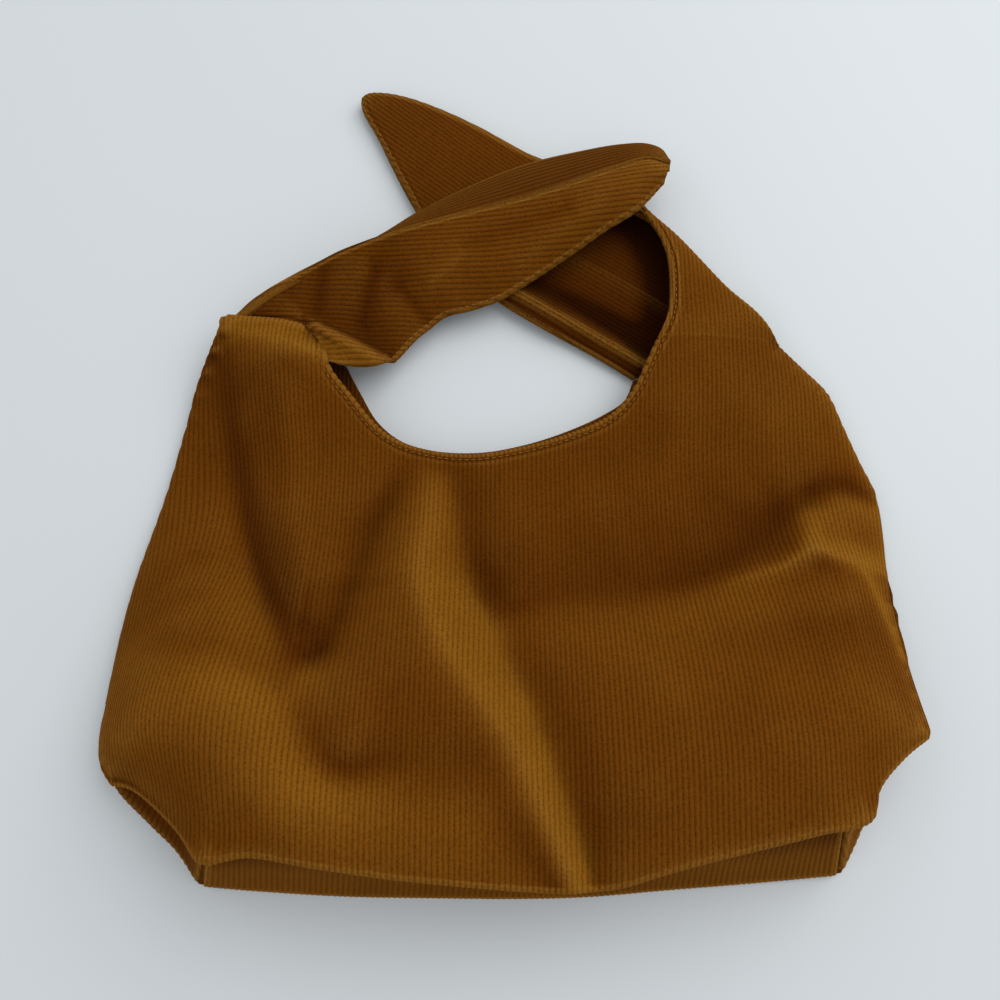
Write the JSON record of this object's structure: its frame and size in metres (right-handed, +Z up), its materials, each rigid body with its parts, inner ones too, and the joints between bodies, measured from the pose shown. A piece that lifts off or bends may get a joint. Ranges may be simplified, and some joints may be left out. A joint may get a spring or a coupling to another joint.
{
  "type": "corduroy tie-strap bag",
  "caption": "Soft slouchy corduroy bag with a scooped neck, boxed base and self-tie straps, lined in the same cloth and lying on its back.",
  "frame": {"origin": "middle of the bag's footprint, on the table it lies on", "axes": "+Z up from the table, +Y from the base towards the straps, +X to the right as seen from above with the straps at the top"},
  "size_m": [0.368, 0.41, 0.0629],
  "materials": {
    "corduroy": "golden brown 11-wale corduroy, ribs along the bag, soft pile",
    "lining_corduroy": "the same corduroy used as the lining, ribs towards the inside"
  },
  "bodies": {
    "bag": {"outer_front_panel": "corduroy", "outer_back_panel": "corduroy", "outer_base": "corduroy", "outer_left_gusset": "corduroy", "outer_right_gusset": "corduroy", "lining_front_panel": "lining_corduroy", "lining_back_panel": "lining_corduroy", "lining_base": "lining_corduroy", "lining_left_gusset": "lining_corduroy", "lining_right_gusset": "lining_corduroy"},
    "left_strap": {"left_strap_front_half": "corduroy", "left_strap_back_half": "corduroy", "left_strap_front_lining": "lining_corduroy", "left_strap_back_lining": "lining_corduroy"},
    "right_strap": {"right_strap_front_half": "corduroy", "right_strap_back_half": "corduroy", "right_strap_front_lining": "lining_corduroy", "right_strap_back_lining": "lining_corduroy"}
  },
  "joints": [
    {"name": "left_strap_lift", "type": "hinge", "parent": "bag", "child": "left_strap", "pos_m": [-0.1092, 0.0592, 0.032], "axis": [0.9258, -0.3779, 0], "range_deg": [0, 100]},
    {"name": "right_strap_lift", "type": "hinge", "parent": "bag", "child": "right_strap", "pos_m": [0.106, 0.055, 0.018], "axis": [1, 0, 0], "range_deg": [0, 50]}
  ],
  "couplings": [
    {"joint": "right_strap_lift", "follows": "left_strap_lift", "ratio": 0.5}
  ]
}
